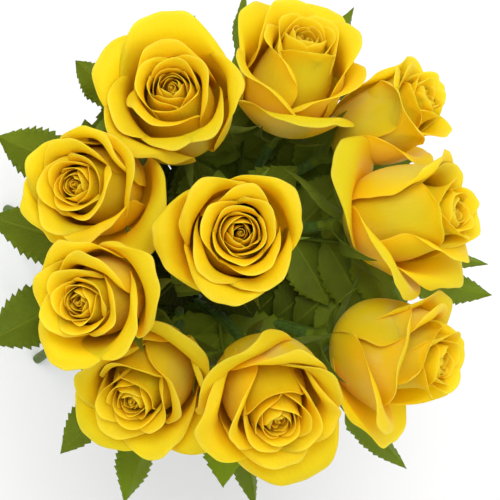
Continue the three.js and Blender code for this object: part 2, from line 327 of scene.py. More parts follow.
def line_frames(line, side=(0, 0, 1)):
    """The directions along a line, and two across it that don't twist."""
    along = np.gradient(line, axis=0)
    along /= np.linalg.norm(along, axis=1)[:, None]
    first = np.asarray(side, float)
    across = []
    for direction in along:
        first = unit(first - (first @ direction) * direction)
        across.append(first)
    across = np.array(across)
    return along, across, np.cross(along, across)


# ---------- mesh building ----------
class Body:
    """Gathers sheets, tubes and turned forms into one mesh."""

    def __init__(self):
        self.points, self.faces, self.uvs, self.tones, self.slots = [], [], [], [], []
        self.count = 0

    def _add(self, points, uvs, tones, faces, slots):
        points = points.reshape(-1, 3)
        self.faces.append(faces + self.count)
        self.slots.append(np.broadcast_to(slots, len(faces)))
        self.points.append(points)
        self.uvs.append(np.broadcast_to(uvs.reshape(-1, 2), (len(points), 2)))
        self.tones.append(np.broadcast_to(tones, len(points)))
        self.count += len(points)

    def shell(self, grid, thickness, tone=0.0, face=0, back=0):
        """A thin closed shell from a grid of points: rows run from base to tip.

        face is the material slot of the side on which columns run rightwards as rows run up.
        """
        rows, cols = grid.shape[:2]
        along, across = np.gradient(grid, axis=0), np.gradient(grid, axis=1)
        normal = np.cross(across, along)
        length = np.linalg.norm(normal, axis=2, keepdims=True)
        normal = normal / np.maximum(length, 1e-12)
        half = np.broadcast_to(np.asarray(thickness) / 2, (rows, cols))[..., None]
        points = np.stack([grid + normal * half, grid - normal * half])
        v, u = np.meshgrid(np.linspace(0, 1, rows), np.linspace(0, 1, cols), indexing="ij")
        uvs = np.broadcast_to(np.stack([u, v], -1), (2, rows, cols, 2))
        top, low = np.arange(2 * rows * cols).reshape(2, rows, cols)

        def quads(a, b, c, d):
            return np.stack([a, b, c, d], -1).reshape(-1, 4)

        front = quads(top[:-1, :-1], top[:-1, 1:], top[1:, 1:], top[1:, :-1])
        rear = quads(low[:-1, :-1], low[1:, :-1], low[1:, 1:], low[:-1, 1:])
        rim = np.concatenate([
            quads(top[0, 1:], top[0, :-1], low[0, :-1], low[0, 1:]),
            quads(top[-1, :-1], top[-1, 1:], low[-1, 1:], low[-1, :-1]),
            quads(top[:-1, 0], top[1:, 0], low[1:, 0], low[:-1, 0]),
            quads(top[1:, -1], top[:-1, -1], low[:-1, -1], low[1:, -1]),
        ])
        faces = np.concatenate([front, rear, rim])
        slots = np.concatenate([
            np.full(len(front), face), np.full(len(rear), back), np.full(len(rim), face)
        ])
        self._add(points, uvs, tone, faces, slots)

    def tube(self, line, radius, sides=10, tone=0.0, slot=0, side=(0, 0, 1), squash=1.0):
        """A round rod along a line, closed at both ends. radius may change along it."""
        _, across, up = line_frames(line, side)
        radius = np.broadcast_to(radius, len(line))[:, None, None]
        out = circle(sides)[None]
        rings = line[:, None] + radius * (
            out[..., :1] * across[:, None] + squash * out[..., 1:2] * up[:, None]
        )
        self.rings(rings, tone, slot)

    def rings(self, rings, tone=0.0, slot=0):
        """A closed form from rings of points, with a point in the middle of each end."""
        rows, sides = rings.shape[:2]
        index = np.arange(rows * sides).reshape(rows, sides)
        turned = np.roll(index, -1, axis=1)
        walls = np.stack([index[:-1], turned[:-1], turned[1:], index[1:]], -1).reshape(-1, 4)
        v, u = np.meshgrid(np.linspace(0, 1, rows), np.linspace(0, 1, sides), indexing="ij")
        first, last = rows * sides, rows * sides + 1
        ends = np.concatenate([
            np.stack([turned[0], index[0], np.full(sides, first), np.full(sides, first)], -1),
            np.stack([index[-1], turned[-1], np.full(sides, last), np.full(sides, last)], -1),
        ])
        points = np.vstack([rings.reshape(-1, 3), rings[0].mean(0), rings[-1].mean(0)])
        uvs = np.vstack([np.stack([u, v], -1).reshape(-1, 2), [[0.5, 0], [0.5, 1]]])
        tones = np.broadcast_to(np.asarray(tone, float).reshape(-1, 1), (rows, sides)).reshape(-1)
        tones = np.concatenate([tones, tones[:1], tones[-1:]])
        self._add(points, uvs, tones, np.concatenate([walls, ends]), slot)

    def build(self, name, materials, levels=0):
        points = np.vstack(self.points)
        faces = np.vstack(self.faces)
        corners = [tuple(dict.fromkeys(face)) for face in faces.tolist()]
        mesh = bpy.data.meshes.new(name)
        mesh.from_pydata(points, [], corners)
        mesh.update()
        order = np.empty(len(mesh.loops), int)
        mesh.loops.foreach_get("vertex_index", order)
        layer = mesh.uv_layers.new(name="petal_uv")
        layer.data.foreach_set("uv", np.vstack(self.uvs)[order].ravel())
        tone = mesh.attributes.new("tone", "FLOAT", "POINT")
        tone.data.foreach_set("value", np.concatenate(self.tones))
        mesh.polygons.foreach_set("material_index", np.concatenate(self.slots))
        mesh.polygons.foreach_set("use_smooth", np.ones(len(faces), bool))
        for material in materials:
            mesh.materials.append(material)
        piece = bpy.data.objects.new(name, mesh)
        bpy.context.scene.collection.objects.link(piece)
        if levels:
            rounding = piece.modifiers.new("rounding", "SUBSURF")
            rounding.levels = rounding.render_levels = levels
        return piece


def settle(piece, slot, *nodes):
    """Puts a finished piece on the frame in place of its CAD nodes."""
    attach(piece, "root")
    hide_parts(*nodes)


# ---------- materials ----------
class Finish:
    """A material on its way: a principled shader and the nodes that feed it."""

    def __init__(self, name, **settings):
        self.material = bpy.data.materials.new(name)
        self.material.use_nodes = True
        self.tree = self.material.node_tree
        self.shader = self.tree.nodes["Principled BSDF"]
        for socket, value in settings.items():
            self.shader.inputs[socket.replace("_", " ")].default_value = value

    def add(self, kind, links=None, **settings):
        node = self.tree.nodes.new(kind)
        for key, value in settings.items():
            setattr(node, key, value)
        for socket, source in (links or {}).items():
            if isinstance(source, bpy.types.NodeSocket):
                self.tree.links.new(source, node.inputs[socket])
            else:
                node.inputs[socket].default_value = source
        return node

    def math(self, operation, *values):
        links = dict(enumerate(values))
        return self.add("ShaderNodeMath", links, operation=operation).outputs[0]

    def mix(self, share, first, second):
        node = self.add("ShaderNodeMix", {0: share}, data_type="RGBA", clamp_factor=True)
        for socket, source in ((6, first), (7, second)):
            if isinstance(source, bpy.types.NodeSocket):
                self.tree.links.new(source, node.inputs[socket])
            else:
                node.inputs[socket].default_value = (*source, 1)
        return node.outputs[2]

    def ramp(self, value, low, high, start=0.0, end=1.0):
        links = {0: value, 1: low, 2: high, 3: start, 4: end}
        return self.add(
            "ShaderNodeMapRange", links, interpolation_type="SMOOTHSTEP", clamp=True
        ).outputs[0]

    def noise(self, where, scale, detail=3.0, roughness=0.5):
        links = {"Vector": where, "Scale": scale, "Detail": detail, "Roughness": roughness}
        return self.add("ShaderNodeTexNoise", links).outputs[0]

    def place(self):
        return self.add("ShaderNodeTexCoord").outputs["Object"]

    def sheet(self):
        """Across the sheet (0 in its middle, 1 at either margin), signed across, and along it."""
        uv = self.add("ShaderNodeUVMap", uv_map="petal_uv").outputs[0]
        parts = self.add("ShaderNodeSeparateXYZ", {0: uv})
        signed = self.math("MULTIPLY_ADD", parts.outputs[0], 2.0, -1.0)
        return self.math("ABSOLUTE", signed), signed, parts.outputs[1]

    def tone(self):
        return self.add("ShaderNodeAttribute", attribute_name="tone").outputs["Fac"]

    def colour(self, source):
        self.tree.links.new(source, self.shader.inputs["Base Color"])

    def rough(self, source):
        self.tree.links.new(source, self.shader.inputs["Roughness"])

    def bump(self, height, distance, strength=1.0):
        node = self.add(
            "ShaderNodeBump", {"Height": height, "Distance": distance, "Strength": strength}
        )
        self.tree.links.new(node.outputs[0], self.shader.inputs["Normal"])


def petal_finish(name, colours, ripeness, back=False):
    """Velvety petal, from lemon (ripeness 0) to gold (1). Tone is 0 in the heart and 1 outermost."""
    finish = Finish(
        name,
        Subsurface_Weight=0.6,
        Subsurface_Radius=(1.0, 0.55, 0.04),
        Subsurface_Scale=0.005,
        Specular_IOR_Level=0.13,
    )

    def ripe(young, old):
        return tuple(np.array(young) * (1 - ripeness) + np.array(old) * ripeness)

    margin, signed, along = finish.sheet()
    tone, place = finish.tone(), finish.place()
    heart = ripe(colours.petal, colours.heart)
    open_petal = ripe(colours.petal_edge, colours.petal)
    base = finish.mix(finish.ramp(tone, 0.1, 0.75), heart, open_petal)
    patch = finish.noise(place, 38.0, 2.0)
    faded = finish.math("MULTIPLY", finish.ramp(along, 0.55, 1.0, 0.1, 0.9), patch)
    shade = finish.mix(faded, base, tuple(colours.petal_edge))
    if back:
        # A cream blush in patches, away from the margins and the rim.
        middle = finish.math("MULTIPLY", finish.ramp(margin, 0.98, 0.1), finish.ramp(patch, 0.34, 0.6))
        blush = finish.math("MULTIPLY", finish.ramp(tone, 0.6, 0.95, 0.0, 0.55), middle)
        low = finish.ramp(along, 0.99, 0.6)
        shade = finish.mix(finish.math("MULTIPLY", blush, low), shade, tuple(colours.petal_back))
    else:
        # Partly painted light: orange gold deeper down the inner face, partly the petal's own colour
        # towards its base and partly painted glow of light bouncing between the petals in the creases.
        depth = finish.ramp(along, 0.88, 0.4, 0.0, 0.8)
        shade = finish.mix(depth, shade, tuple(colours.petal_depth_glow))
    # Painted light along the thin rims, standing in for light shining through them.
    rim = finish.math(
        "MAXIMUM", finish.ramp(along, 0.94, 1.0, 0.0, 0.6), finish.ramp(margin, 0.93, 1.0, 0.0, 0.45)
    )
    shade = finish.mix(rim, shade, tuple(colours.petal_rim_light))
    # Pale green claw where the petal leaves the hip.
    shade = finish.mix(finish.ramp(along, 0.24, 0.05), shade, CLAW)
    # Veins fan out from the claw as fine darker lines.
    wander = finish.math("MULTIPLY_ADD", finish.noise(place, 160.0, 2.0), 0.06, signed)
    veins = finish.math("SINE", finish.math("MULTIPLY", wander, 74.0))
    vein_shade = finish.math("MULTIPLY_ADD", veins, 0.012, 0.014)
    shade = finish.mix(vein_shade, shade, PETAL_VEIN)
    finish.colour(shade)
    finish.rough(finish.ramp(finish.noise(place, 420.0, 3.0), 0.3, 0.7, 0.50, 0.66))
    grain = finish.noise(place, 1500.0, 3.0)
    height = finish.math("MULTIPLY_ADD", veins, 0.3, finish.math("MULTIPLY", grain, 0.8))
    finish.bump(height, 0.04 * MM, 0.6)
    return finish.material


def leaf_finish(name, upper, young, gloss):
    """Leaf blade with a midrib, side veins that curve to the margin and a net between them."""
    finish = Finish(
        name,
        Subsurface_Weight=0.12,
        Subsurface_Radius=(0.4, 0.9, 0.1),
        Subsurface_Scale=0.001,
        Specular_IOR_Level=0.10,
    )
    margin, _, along = finish.sheet()
    tone, place = finish.tone(), finish.place()
    bend = finish.math("POWER", margin, VEIN_BEND)
    sweep = finish.math("MULTIPLY_ADD", bend, -VEIN_SWEEP, finish.math("MULTIPLY", along, SIDE_VEINS))
    sweep = finish.math("MULTIPLY_ADD", finish.noise(place, 90.0, 1.0), 0.35, sweep)
    ridge = finish.math("ABSOLUTE", finish.math("SINE", finish.math("MULTIPLY", sweep, math.pi)))
    side_vein = finish.ramp(ridge, 0.16, 0.0)
    midrib = finish.ramp(margin, 0.07, 0.015)
    vein = finish.math("MAXIMUM", midrib, finish.math("MULTIPLY", side_vein, 0.75))
    patch = finish.noise(place, 55.0, 3.0)
    shade = finish.mix(finish.ramp(patch, 0.3, 0.7), tuple(c * 0.72 for c in upper), upper)
    # Painted shade: the lowest tones, on leaves and leaflets deep inside the bunch, go nearly black,
    # partly the darker green of older leaves and partly painted shade.
    shade = finish.mix(finish.ramp(tone, 0.1, 0.0), shade, tuple(c * 0.22 for c in upper))
    shade = finish.mix(tone, shade, young)
    shade = finish.mix(finish.math("MULTIPLY", finish.ramp(margin, 0.75, 1.0), tone), shade, young)
    pale = tuple(min(1, c * 1.5 + 0.008) for c in upper)
    shade = finish.mix(finish.math("MULTIPLY", vein, 0.4), shade, pale)
    finish.colour(shade)
    finish.rough(finish.ramp(finish.noise(place, 240.0, 3.0), 0.25, 0.75, gloss, gloss + 0.18))
    net = finish.add(
        "ShaderNodeTexVoronoi", {"Vector": place, "Scale": 900.0}, feature="DISTANCE_TO_EDGE"
    ).outputs[0]
    cells = finish.math("MULTIPLY", finish.ramp(net, 0.0, 0.3), 0.35)
    finish.bump(finish.math("MULTIPLY_ADD", vein, -0.9, cells), 0.22 * MM, 0.8)
    return finish.material


def stem_finish(colours):
    """Waxy stem with brown flecks. Tone is 0 on the bark and 1 on a prickle's tip."""
    finish = Finish("stem_skin", Specular_IOR_Level=0.35)
    place, tone = finish.place(), finish.tone()
    stretched = finish.add(
        "ShaderNodeMapping", {"Vector": place, "Scale": (1.0, 1.0, 0.12)}
    ).outputs[0]
    streaks = finish.noise(stretched, 700.0, 4.0)
    patch = finish.noise(place, 45.0, 2.0)
    green = tuple(colours.stem)
    shade = finish.mix(finish.ramp(streaks, 0.35, 0.7), green, tuple(c * 1.7 for c in green))
    shade = finish.mix(finish.ramp(patch, 0.55, 0.8, 0, 0.45), shade, BARK_BROWN)
    shade = finish.mix(tone, shade, tuple(colours.prickle))
    finish.colour(shade)
    finish.rough(finish.ramp(streaks, 0.3, 0.8, 0.42, 0.6))
    finish.bump(streaks, 0.12 * MM, 0.6)
    return finish.material


def pith_finish():
    """Pale wet pith of a cut end."""
    finish = Finish("cut_pith", Specular_IOR_Level=0.4)
    grain = finish.noise(finish.place(), 1200.0, 4.0)
    shade = finish.mix(finish.ramp(grain, 0.3, 0.7), PITH, PITH_FLECK)
    finish.colour(shade)
    finish.rough(finish.ramp(grain, 0.3, 0.7, 0.5, 0.75))
    finish.bump(grain, 0.1 * MM, 0.6)
    return finish.material


def sepal_finish(colours):
    """Downy sepals and hip, flushed with yellow-green."""
    finish = Finish(
        "sepal_skin",
        Subsurface_Weight=0.1,
        Subsurface_Radius=(0.4, 0.9, 0.1),
        Subsurface_Scale=0.001,
        Specular_IOR_Level=0.25,
    )
    margin, signed, _ = finish.sheet()
    place = finish.place()
    patch = finish.noise(place, 120.0, 3.0)
    green = tuple(colours.sepal)
    shade = finish.mix(finish.ramp(patch, 0.3, 0.7), tuple(c * 0.7 for c in green), green)
    shade = finish.mix(finish.tone(), shade, tuple(colours.young_leaf))
    shade = finish.mix(finish.ramp(margin, 0.12, 0.0, 0.0, 0.5), shade, tuple(colours.leaf_under))
    finish.colour(shade)
    down = finish.noise(place, 1800.0, 4.0, 0.7)
    finish.rough(finish.ramp(down, 0.3, 0.7, 0.55, 0.8))
    ribs = finish.math("SINE", finish.math("MULTIPLY", signed, 16.0))
    finish.bump(finish.math("MULTIPLY_ADD", ribs, 0.35, down), 0.1 * MM, 0.7)
    return finish.material


def twine_finish(colours):
    """Jute plies with stray lighter fibres."""
    finish = Finish("jute_twine", Sheen_Weight=0.3, Sheen_Roughness=0.6, Specular_IOR_Level=0.2)
    place = finish.place()
    fibres = finish.noise(place, 2600.0, 5.0, 0.75)
    patch = finish.noise(place, 300.0, 3.0)
    jute = tuple(colours.twine)
    shade = finish.mix(finish.ramp(fibres, 0.3, 0.7), tuple(c * 0.5 for c in jute), jute)
    shade = finish.mix(finish.ramp(patch, 0.45, 0.8, 0, 0.5), shade, tuple(min(1, c * 1.5) for c in jute))
    finish.colour(shade)
    finish.rough(finish.ramp(fibres, 0.3, 0.7, 0.75, 0.95))
    finish.bump(fibres, 0.3 * MM, 0.9)
    return finish.material


# ---------- petals ----------
# How a bloom opens, from its innermost petal (rank 0) to its outermost (rank 1). Radii are shares of
# the bloom's own girth, heights are shares of its depth, and angles are degrees from level: the
# heart's petals lean in over it, and the outer ones fall open. SPREAD is half a petal's width over
# its belly's radius, REFLEX how far its margin rolls back, and DROP how far its corners round off.
RANKS = np.linspace(0, 1, 11)
BELLY = np.array([0.12, 0.17, 0.235, 0.31, 0.40, 0.50, 0.61, 0.72, 0.83, 0.92, 1.0])
RIM = np.array([0.07, 0.10, 0.135, 0.185, 0.26, 0.38, 0.55, 0.76, 0.98, 1.17, 1.33])
RIM_HEIGHT = np.array([0.965, 0.985, 1.0, 1.01, 1.02, 1.04, 1.04, 1.02, 0.98, 0.93, 0.87])
RIM_ANGLE = np.array([104, 112, 116, 114, 104, 84, 62, 42, 22, 2, -20])
SPREAD = np.array([2.4, 2.3, 2.2, 2.1, 2.0, 1.85, 1.7, 1.5, 1.33, 1.2, 1.12])
REFLEX = np.array([0.0, 0.0, 0.0, 0.05, 0.1, 0.2, 0.32, 0.44, 0.55, 0.65, 0.7])
DROP = np.array([0.05, 0.05, 0.06, 0.07, 0.08, 0.10, 0.12, 0.14, 0.16, 0.18, 0.19])


class Petal:
    """One petal's shape, to be bent a little from its rank's usual one.

    tuck is how far one margin lies inside its neighbour and the other outside it, and its sign is the
    hand of the bloom's spiral. swirl and tilt lean the rim to one side, wave ripples it and nick
    notches it. flatten widens the wrap towards the rim. splay is how far the belly leans outwards.
    """

    FOOT_RADIUS = 2.4 * MM
    TIGHTEST_WRAP = 1.2 * MM
    # In radians: the slope at which a petal leaves the hip, the slant of the margins that roll back,
    # the furthest that they roll, and the furthest round the bloom that half a petal reaches.
    FOOT_SLOPE = 0.3
    ROLL_SLANT = 0.72
    MOST_ROLL = 2.4
    MOST_WRAP = 2.7

    def __init__(self, place, rank, azimuth, openness, rng):
        depth, girth = place.depth, place.girth

        def usual(table, jitter=0.0):
            return float(np.interp(rank, RANKS, table)) * (1 + jitter * rng.uniform(-1, 1))

        self.rank, self.azimuth, self.rng = rank, azimuth, rng
        self.seat = place.seat
        self.belly = usual(BELLY) * girth
        self.belly_height = depth * (0.47 + 0.06 * rng.uniform(-1, 1))
        loose = smoothstep(0.35, 0.9, rank)
        self.rim = usual(RIM, 0.02 + 0.06 * loose) * girth
        self.rim_height = usual(RIM_HEIGHT, 0.015 + 0.03 * loose) * depth
        self.rim_angle = usual(RIM_ANGLE) + (4 + 10 * loose) * rng.uniform(-1, 1)
        flare = (openness - 1) * smoothstep(0.3, 0.8, rank)
        self.rim += flare * 0.25 * girth
        self.rim_height -= flare * 0.10 * depth
        self.rim_angle -= flare * 50
        self.half_width = usual(SPREAD, 0.05) * self.belly
        self.reflex = usual(REFLEX) * rng.uniform(0.55, 1.25)
        self.drop = usual(DROP, 0.25)
        self.tuck = 0.5 * MM * (1 + rank)
        self.swirl = 0.05 * (1 - rank)
        self.wave = (0.12 + 1.0 * rank**2) * MM
        self.flatten = 1 + 0.3 * max(0, rank - 0.5)
        self.tilt = 0.05 * loose * rng.uniform(-1, 1)
        self.nick = rng.uniform(-0.75, 0.75)
        self.nick_depth = 0.035 * loose * max(0, rng.uniform(-0.8, 1))
        self.splay = 0.0

    def draw_out(self, place, reach, droop, width, fall):
        """Makes this a marked petal: longer, wider and more open than its rank's usual one."""
        opened = min(1, fall)
        self.rim += reach * place.girth
        self.rim_height -= 0.5 * fall * place.depth
        self.belly_height *= 1 - 0.7 * min(0.8, fall)
        self.reflex *= 1 - 0.6 * opened
        self.splay = math.radians(60) * opened
        self.flatten += 0.5 * opened
        self.rim_angle -= droop
        self.half_width *= width

    def midline(self):
        """The way from the petal's foot over its belly to its rim, as (radius, height)."""
        foot = np.array([min(self.FOOT_RADIUS, self.belly * 0.6), 0.0])
        belly = np.array([self.belly, self.belly_height])
        rim = np.array([self.rim, self.rim_height])
        off_hip = direction(self.FOOT_SLOPE)
        at_belly = np.array([math.sin(self.splay), math.cos(self.splay)])
        at_rim = direction(math.radians(self.rim_angle))
        low, high = np.linalg.norm(belly - foot), np.linalg.norm(rim - belly)
        return np.vstack([
            bezier(foot, foot + off_hip * low * 0.5, belly - at_belly * low * 0.42, belly, 40)[:-1],
            bezier(belly, belly + at_belly * high * 0.42, rim - at_rim * high * 0.45, rim, 40),
        ])

    def laid_flat(self, u, v, length):
        """The petal laid flat: x across and y along, with its tip, nick and uneven edge."""
        x = u * np.interp(v, *PETAL_OUTLINE) * self.half_width
        tip = 0.022 * self.reflex * np.exp(-((u / 0.2) ** 2))
        uneven = np.sin(u * 6.0 + self.azimuth) + 0.6 * np.sin(u * 14.0 + 2 * self.azimuth)
        nick = self.nick_depth * np.exp(-(((u - self.nick) / 0.13) ** 2))
        edge = tip - nick + 0.014 * self.rank * uneven
        skew = self.swirl * np.sign(self.tuck) + self.tilt
        y = length * v * (1 - self.drop * np.abs(u) ** 2.6 * v + edge * v**6 + skew * u * v**2)
        return x, y

    def rolled_back(self, x, y, length):
        """Rolls the upper margin back on both sides, which leaves the tip pointed."""
        out = np.zeros_like(x)
        radius = (1.4 + 2.6 * self.rank) * MM
        start = self.half_width * (0.62 - 0.12 * self.reflex)
        for hand in (-1, 1):
            lean = direction(self.ROLL_SLANT) * [hand, 1]
            past = x * lean[0] + (y - length * 0.93) * lean[1] - start * lean[0] * hand * 0.66
            past = np.where(x * hand > 0, np.maximum(past, 0), 0)
            turn = np.minimum(past / radius, self.MOST_ROLL) * self.reflex
            straight = np.maximum(past - radius * self.MOST_ROLL, 0)
            kept = radius * np.sin(turn) + straight * np.cos(turn)
            x = x + lean[0] * (kept - past) * (past > 0)
            y = y + lean[1] * (kept - past) * (past > 0)
            out = out + radius * (1 - np.cos(turn)) + straight * np.sin(turn)
        return x, y, out

    def grid(self, rows=20, cols=15):
        """Points of the petal in the bloom's own frame: rows from foot to rim, columns across."""
        midline = self.midline()
        travel = travelled(midline)
        length = travel[-1]
        slope = np.gradient(midline, travel, axis=0)
        slope /= np.linalg.norm(slope, axis=1)[:, None]
        v = (np.linspace(0, 1, rows) ** 0.9)[:, None]
        u = np.linspace(-1, 1, cols)[None, :]
        x, y = self.laid_flat(u, v, length)
        x, y, out = self.rolled_back(x, y, length)

        # A lip along the rim and soft waves.
        lip = smoothstep(0.86, 1.0, v) * (0.5 + 0.9 * self.rank) * MM
        phase = self.rng.uniform(0, 6.28, 3)
        ripple = np.sin(u * 5.5 + phase[0]) + 0.6 * np.sin(u * 9 + v * 3 + phase[1])
        crease = np.cos(u * 3.3 + phase[2]) * np.sin(v * 6)
        out = out + lip + self.wave * (ripple * smoothstep(0.45, 1.0, v) + 0.5 * crease * v)

        # Bent up along the midline, and on past its end.
        y = np.clip(y, 0, None)
        beyond = np.clip(y - length, 0, None)
        slope_out, slope_up = (np.interp(y, travel, slope[:, k]) for k in range(2))
        radius, height = (np.interp(y, travel, midline[:, k]) for k in range(2))
        radius = radius + beyond * slope_out + out * slope_up
        height = height + beyond * slope_up - out * slope_out

        # Wrapped round the bloom: one margin tucks under its neighbour and the other lies over.
        widened = radius * (1 + (self.flatten - 1) * smoothstep(0.3, 1, v))
        curve = np.maximum(widened, self.TIGHTEST_WRAP)
        angle = self.MOST_WRAP * np.tanh(x / curve / self.MOST_WRAP)
        ring = curve + self.tuck * u * smoothstep(0.1, 0.6, v)
        out = radius - curve + ring * np.cos(angle)
        return turned(out, ring * np.sin(angle), height + self.seat, self.azimuth)


def heart_scroll(place, hand, start, rows=10, cols=60):
    """The bud in the middle of the heart: one petal rolled up tight, as a sheet."""
    turn = np.linspace(0, 1, cols)[None, :]
    v = np.linspace(0, 1, rows)[:, None]
    reach = (0.012 + 0.085 * turn) * place.girth * (1.15 - 0.45 * v**3)
    angle = start + hand * turn * 2.4 * FULL_TURN
    rise = 0.45 + (0.50 + 0.035 * np.sin(turn * 9)) * v - 0.02 * turn * v
    height = place.seat + place.depth * rise
    return np.stack([reach * np.cos(angle), reach * np.sin(angle), height], -1)


# How ripe each colour of petal is, from lemon to gold.
RIPENESS = {"lemon": 0.15, "clear": 0.55, "golden": 1.0}

# Each rose's own habit: how open it is, which way its spiral runs, its colour, and its marked outer
# petals as (heading in the bunch in degrees, extra reach, droop in degrees, width, fall). Reach is a
# share of the bloom's girth, and width a share of the petal's usual one. Fall is how low down the
# bloom the petal opens: 0 at its mouth, and past 1 near its foot.
HABITS = {
    1: dict(openness=1.0, hand=1, colour="golden", marked=[
        (185, 0.26, 14, 1.1, 0.2), (250, 0.10, 8, 1.1, 0.05), (300, 0.06, 4, 1.1, 0.0)]),
    2: dict(openness=0.75, hand=-1, colour="lemon", marked=[
        (158, 1.05, 42, 1.15, 1.35), (232, 0.55, 20, 1.2, 0.6), (305, 0.20, 6, 1.1, 0.1),
        (60, 0.15, 4, 1.1, 0.1)]),
    3: dict(openness=0.65, hand=1, colour="clear", marked=[
        (212, 0.26, 4, 1.3, 0.1), (268, 0.34, 8, 1.3, 0.4), (310, 0.22, 10, 1.1, 0.1)]),
    4: dict(openness=0.75, hand=1, colour="lemon", marked=[
        (210, 0.35, 6, 1.3, 0.4), (310, 0.30, 8, 1.3, 0.3), (262, 0.34, 4, 1.3, 0.5),
        (120, 0.12, 0, 1.1, 0.0)]),
    5: dict(openness=1.0, hand=-1, colour="clear", marked=[
        (100, 0.36, -14, 1.35, 0.0), (150, 0.22, 2, 1.25, 0.0), (310, 0.25, 8, 1.0, 0.08),
        (200, 0.10, 4, 1.1, 0.0)]),
    6: dict(openness=0.95, hand=1, colour="clear", marked=[
        (325, 0.42, 14, 1.25, 0.3), (20, 0.26, 8, 1.2, 0.15)]),
    7: dict(openness=0.95, hand=-1, colour="clear", marked=[
        (20, 0.45, 10, 1.3, 0.3), (330, 0.26, 8, 1.2, 0.15), (250, 0.12, 6, 1.1, 0.0)]),
    8: dict(openness=1.05, hand=1, colour="lemon", marked=[
        (225, 0.14, 8, 1.1, 0.0), (50, 0.45, 10, 1.35, 0.4), (350, 0.24, 8, 1.2, 0.1)]),
    9: dict(openness=1.0, hand=-1, colour="golden", marked=[
        (140, 0.36, 10, 1.3, 0.3), (205, 0.16, 8, 1.2, 0.0), (300, 0.26, 8, 1.2, 0.0),
        (45, 0.28, 8, 1.2, 0.2)]),
    10: dict(openness=0.8, hand=1, colour="golden", marked=[
        (168, 0.22, 4, 1.35, 0.1), (284, 0.75, 14, 1.35, 0.8), (60, 0.25, 8, 1.2, 0.2),
        (222, 0.30, 10, 1.3, 0.3)]),
}


def bloom_petals(number, sizes):
    """Every petal of a rose as (rank, grid), from the innermost out."""
    place, habit = BLOOMS[number], HABITS[number]
    rng = np.random.default_rng(40 + number)
    openness = habit["openness"] * sizes.openness
    first = rng.uniform(0, FULL_TURN)
    petals = []
    for k in range(sizes.petals):
        rank = k / (sizes.petals - 1)
        azimuth = first + habit["hand"] * k * GOLDEN_ANGLE + rng.uniform(-0.12, 0.12)
        petals.append(Petal(place, rank, azimuth, openness, rng))
    outer = petals[-SEPARATE_PETALS:]
    for heading, reach, droop, width, fall in habit["marked"]:
        wanted = place.azimuth_of(heading)
        # The outer petal that already points nearest that way is the one that is drawn out.
        nearest = min(outer, key=lambda p: abs(math.remainder(p.azimuth - wanted, FULL_TURN)))
        outer = [p for p in outer if p is not nearest]
        nearest.azimuth = wanted
        nearest.draw_out(place, reach, droop, width, fall)
    for petal in petals:
        petal.tuck *= habit["hand"]
    scroll = heart_scroll(place, habit["hand"], first)
    return [(0.0, scroll)] + [(petal.rank, petal.grid()) for petal in petals]


class BUNCH_OT_blooms(bpy.types.Operator):
    """Adds the ten blooms: each rolled heart as one piece and its outer petals one by one"""

    bl_idname = "rose_bunch.blooms"
    bl_label = "Blooms"

    def execute(self, context):
        sizes, colours = context.scene.rose_bunch_sizes, context.scene.rose_bunch_colours
        faces = {
            name: [petal_finish(f"{name}_petal_face", colours, ripeness),
                   petal_finish(f"{name}_petal_back", colours, ripeness, back=True)]
            for name, ripeness in RIPENESS.items()
        }
        for number in ROSES:
            place = BLOOMS[number]
            petals = bloom_petals(number, sizes)
            heart = petals[:HEART_PETALS]
            inner = petals[HEART_PETALS:-SEPARATE_PETALS]
            groups = {
                f"{place.name}_heart_petals": (heart, "heart_petal", "heart"),
                f"{place.name}_inner_petals": (inner, "outer_petal", "outer_petals"),
            }
            for k, petal in enumerate(petals[-SEPARATE_PETALS:], 1):
                groups[f"{place.name}_petal_{k}"] = ([petal], "outer_petal", "outer_petals")
            for name, (members, slot, node) in groups.items():
                body = Body()
                for rank, grid in members:
                    rows = np.linspace(0, 1, grid.shape[0])[:, None]
                    thickness = sizes.petal_thickness * (1.5 - 0.75 * rows**0.7)
                    # A petal's columns run so that the shell's own face is the petal's back.
                    body.shell(place.to_world(grid), thickness, rank, face=1, back=0)
                piece = body.build(name, faces[HABITS[number]["colour"]], levels=1)
                settle(piece, slot, f"{place.name}_{node}")
        return {"FINISHED"}


# ---------- calyx ----------
def sepal_grid(place, azimuth, length, width, opening, sway, rng, rows=26, cols=7):
    """A long leafy sepal. With no opening it lies along the bloom; opening bends it back, in degrees."""
    s = np.linspace(0, 1, rows)
    # The way up the outside of the bloom, from the hip's top.
    depth, girth = place.depth, place.girth
    hug = bezier(
        np.array([4.2 * MM, 0]), np.array([girth * 0.64, 0.5 * MM]),
        np.array([girth * 1.12, depth * 0.26]), np.array([girth * 1.18, depth * 0.60]), 60,
    )
    hug = np.vstack([hug, hug[-1] + np.array([0.12, 1.0]) * 30 * MM])
    travel = travelled(hug)
    out, up = (np.interp(s * length, travel, hug[:, k]) for k in range(2))
    out = out + 1.1 * MM * smoothstep(0, 0.2, s)
    # Bent back progressively, from the base on.
    turn = -np.radians(opening) * (0.35 + 0.65 * s)
    steps = np.diff(np.stack([out, up]), axis=1)
    c, w = np.cos(turn[:-1]), np.sin(turn[:-1])
    out = out[0] + np.concatenate([[0], np.cumsum(steps[0] * c - steps[1] * w)])
    up = place.seat - 1.0 * MM + np.concatenate([[0], np.cumsum(steps[0] * w + steps[1] * c)])
    side = length * (sway * s**2 + 0.03 * np.sin(s * 7 + rng.uniform(0, 6)) * s)
    half = width / 2 * np.interp(s, *SEPAL_OUTLINE)
    teeth = 1 + 0.16 * ((1 - (s * 6 + rng.uniform()) % 1) - 0.5) * smoothstep(0.1, 0.3, s)
    u = np.linspace(-1, 1, cols)[None, :]
    reach = half[:, None] * np.where(np.abs(u) > 0.99, teeth[:, None], 1.0)
    lift = (rng.uniform(0.1, 0.4) * np.abs(u) ** 1.5) * half[:, None]
    bend = np.arctan2(np.gradient(up), np.gradient(out))[:, None]
    a = out[:, None] + lift * np.sin(bend)
    z = up[:, None] - lift * np.cos(bend)
    return turned(a, side[:, None] + u * reach, z, azimuth)


